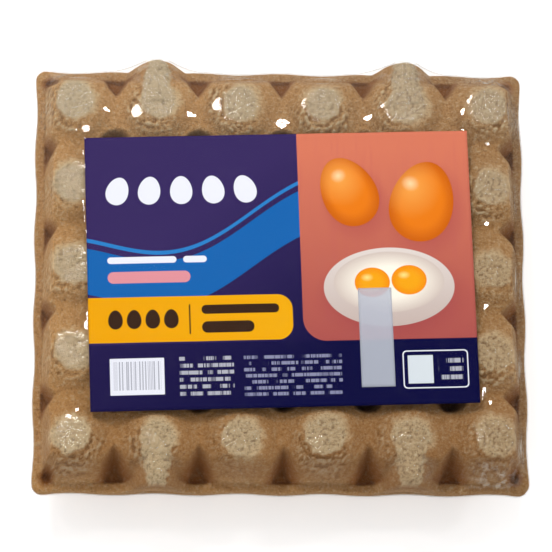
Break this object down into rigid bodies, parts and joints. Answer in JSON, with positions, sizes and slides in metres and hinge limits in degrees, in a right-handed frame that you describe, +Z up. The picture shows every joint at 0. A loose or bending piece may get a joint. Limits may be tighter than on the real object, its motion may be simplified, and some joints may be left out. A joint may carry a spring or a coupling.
{
  "type": "shrink-wrapped egg tray pack",
  "caption": "Shut shrink-wrapped egg pack: moulded pulp trays face to face, a printed paper label on the upper cups, clear film drawn tight round everything.",
  "frame": {"origin": "on the ground under the centre of the pack's bounding box", "axes": "+X along the side of six cups, +Z up through the label, -Y towards the front, where the label reads upright"},
  "size_m": [0.2982, 0.2622, 0.0806],
  "materials": {
    "upper_pulp": "matt, rough, fibrous moulded pulp, pale torn-looking crumb on the cups' flat ends, darker in the pits",
    "lower_pulp": "matt, rough, fibrous moulded pulp",
    "label_paper": "smooth coated paper printed in fields of navy, blue, coral and amber",
    "sticker_film": "translucent whitish matt film",
    "shrink_film": "clear glossy shrink film, milky where it gathers"
  },
  "bodies": {
    "root": {"upper_tray": "upper_pulp", "lower_tray": "lower_pulp", "label": "label_paper", "clear_sticker": "sticker_film", "film": "shrink_film"}
  },
  "joints": []
}
